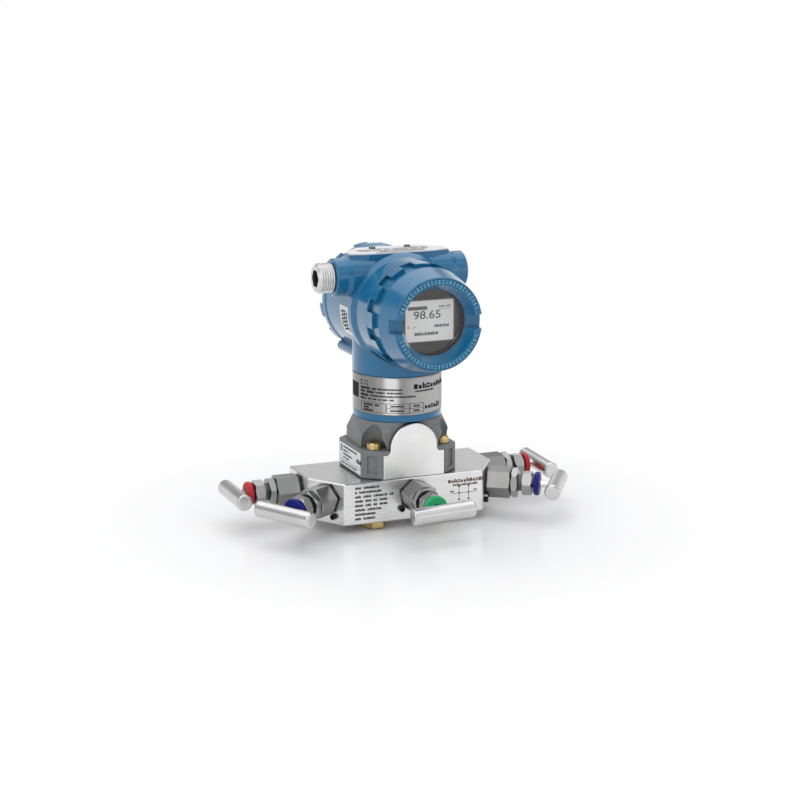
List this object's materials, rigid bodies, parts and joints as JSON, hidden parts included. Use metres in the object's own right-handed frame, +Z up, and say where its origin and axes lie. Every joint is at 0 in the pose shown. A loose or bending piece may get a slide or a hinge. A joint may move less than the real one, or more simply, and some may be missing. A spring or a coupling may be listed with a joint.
{
  "type": "differential pressure transmitter",
  "caption": "Differential pressure transmitter: round housing with a display window on a steel sensor module, bolted to a block manifold with T-handled needle valves.",
  "frame": {"origin": "centre of the manifold block's flat underside, on the axis of the round sensor module", "axes": "+Z up along the sensor module, +X to the right seen from the display, +Y to the back; the display window looks along -Y"},
  "size_m": [0.2746, 0.1633, 0.2144],
  "materials": {
    "block_steel": "fine machined",
    "arch_steel": "brushed",
    "cast_grey": "matte cast",
    "blue_paint": "gloss powder coat",
    "module_steel": "satin",
    "band_steel": "brushed round",
    "bolt_gold": "yellow zinc",
    "seal_black": "matte",
    "packing_white": "smooth",
    "screw_black": "black oxide",
    "nut_steel": "machined",
    "bonnet_steel": "machined",
    "stem_steel": "polished",
    "bar_steel": "satin",
    "cap_green": "satin",
    "cap_blue": "satin",
    "cap_red": "satin",
    "plug_steel": "machined",
    "tag_white": "satin",
    "screw_steel": "machined",
    "electronics_grey": "matte",
    "bezel_dark": "matte",
    "screen_grey": "matte film",
    "terminal_black": "matte",
    "window_glass": "clear"
  },
  "bodies": {
    "base": {"block_gaskets": "seal_black", "bonnet_front": "bonnet_steel", "bonnet_front_left": "bonnet_steel", "bonnet_front_right": "bonnet_steel", "bonnet_side_left": "bonnet_steel", "bonnet_side_right": "bonnet_steel", "dust_cap_front": "cap_green", "dust_cap_front_left": "cap_blue", "dust_cap_front_right": "cap_blue", "dust_cap_side_left": "cap_red", "dust_cap_side_right": "cap_red", "isolating_diaphragms": "module_steel", "lock_nuts": "nut_steel", "lock_screws": "screw_black", "manifold_block": "block_steel", "module_base": "cast_grey", "module_collar": "blue_paint", "nameplate_band": "band_steel", "packing_nuts": "nut_steel", "pressure_block": "arch_steel", "pressure_tubes": "arch_steel", "process_bolts": "bolt_gold", "sensor_module": "module_steel", "valve_packings": "packing_white", "valve_washers": "seal_black"},
    "housing": {"housing_body": "blue_paint", "tag_plate": "tag_white", "tag_screws": "screw_steel", "conduit_plug": "plug_steel", "ground_screw": "screw_steel", "rotation_set_screw": "screw_steel", "electronics_module": "electronics_grey", "display_module": "bezel_dark", "display_screen": "screen_grey", "terminal_block": "terminal_black", "terminal_screws": "screw_steel"},
    "front_thread": {"front_seal": "seal_black"},
    "front_cap": {"front_cover": "blue_paint", "window_glass": "window_glass", "window_ring": "screw_steel"},
    "rear_thread": {"rear_seal": "seal_black"},
    "rear_cap": {"rear_cover": "blue_paint"},
    "valve_tip_front": {"tip_front": "stem_steel"},
    "handle_front": {"stem_front": "stem_steel", "t_bar_front": "bar_steel"},
    "valve_tip_front_left": {"tip_front_left": "stem_steel"},
    "handle_front_left": {"stem_front_left": "stem_steel", "t_bar_front_left": "bar_steel"},
    "valve_tip_front_right": {"tip_front_right": "stem_steel"},
    "handle_front_right": {"stem_front_right": "stem_steel", "t_bar_front_right": "bar_steel"},
    "valve_tip_side_left": {"tip_side_left": "stem_steel"},
    "handle_side_left": {"stem_side_left": "stem_steel", "t_bar_side_left": "bar_steel"},
    "valve_tip_side_right": {"tip_side_right": "stem_steel"},
    "handle_side_right": {"stem_side_right": "stem_steel", "t_bar_side_right": "bar_steel"}
  },
  "joints": [
    {"name": "housing_turn", "type": "hinge", "parent": "base", "child": "housing", "pos_m": [0, 0, 0.112], "axis": [0, 0, 1], "range_deg": [-180, 180]},
    {"name": "front_cover_travel", "type": "slide", "parent": "housing", "child": "front_thread", "axis": [0, -1, 0], "range_m": [0, 0.01]},
    {"name": "front_cover_turn", "type": "hinge", "parent": "front_thread", "child": "front_cap", "pos_m": [0, -0.0193, 0.1618], "axis": [0, -1, 0], "range_deg": [0, 1800]},
    {"name": "rear_cover_travel", "type": "slide", "parent": "housing", "child": "rear_thread", "axis": [0, 1, 0], "range_m": [0, 0.01]},
    {"name": "rear_cover_turn", "type": "hinge", "parent": "rear_thread", "child": "rear_cap", "pos_m": [0, 0.0506, 0.1618], "axis": [0, 1, 0], "range_deg": [0, 1800]},
    {"name": "tip_travel_front", "type": "slide", "parent": "base", "child": "valve_tip_front", "axis": [0, -1, 0], "range_m": [-0.0044, 0.0006]},
    {"name": "handle_turn_front", "type": "hinge", "parent": "valve_tip_front", "child": "handle_front", "pos_m": [0, -0.0362, 0.0195], "axis": [0, -1, 0], "range_deg": [-1267.2, 172.8]},
    {"name": "tip_travel_front_left", "type": "slide", "parent": "base", "child": "valve_tip_front_left", "axis": [-0.8286, -0.5599, 0], "range_m": [-0.0014, 0.0036]},
    {"name": "handle_turn_front_left", "type": "hinge", "parent": "valve_tip_front_left", "child": "handle_front_left", "pos_m": [-0.0683, -0.02155, 0.0195], "axis": [-0.8286, -0.5599, 0], "range_deg": [-403.2, 1036.8]},
    {"name": "tip_travel_front_right", "type": "slide", "parent": "base", "child": "valve_tip_front_right", "axis": [0.8286, -0.5599, 0], "range_m": [-0.0044, 0.0006]},
    {"name": "handle_turn_front_right", "type": "hinge", "parent": "valve_tip_front_right", "child": "handle_front_right", "pos_m": [0.0683, -0.02155, 0.0195], "axis": [0.8286, -0.5599, 0], "range_deg": [-1267.2, 172.8]},
    {"name": "tip_travel_side_left", "type": "slide", "parent": "base", "child": "valve_tip_side_left", "axis": [-1, 0, 0], "range_m": [-0.0004, 0.0046]},
    {"name": "handle_turn_side_left", "type": "hinge", "parent": "valve_tip_side_left", "child": "handle_side_left", "pos_m": [-0.0782, 0.015, 0.0195], "axis": [-1, 0, 0], "range_deg": [-115.2, 1324.8]},
    {"name": "tip_travel_side_right", "type": "slide", "parent": "base", "child": "valve_tip_side_right", "axis": [1, 0, 0], "range_m": [-0.0024, 0.0026]},
    {"name": "handle_turn_side_right", "type": "hinge", "parent": "valve_tip_side_right", "child": "handle_side_right", "pos_m": [0.0782, 0.015, 0.0195], "axis": [1, 0, 0], "range_deg": [-691.2, 748.8]}
  ],
  "couplings": [
    {"joint": "front_cover_travel", "follows": "front_cover_turn", "m_per_rad": 0.0003183},
    {"joint": "rear_cover_travel", "follows": "rear_cover_turn", "m_per_rad": 0.0003183},
    {"joint": "tip_travel_front", "follows": "handle_turn_front", "m_per_rad": 0.00019894},
    {"joint": "tip_travel_front_left", "follows": "handle_turn_front_left", "m_per_rad": 0.00019894},
    {"joint": "tip_travel_front_right", "follows": "handle_turn_front_right", "m_per_rad": 0.00019894},
    {"joint": "tip_travel_side_left", "follows": "handle_turn_side_left", "m_per_rad": 0.00019894},
    {"joint": "tip_travel_side_right", "follows": "handle_turn_side_right", "m_per_rad": 0.00019894}
  ]
}
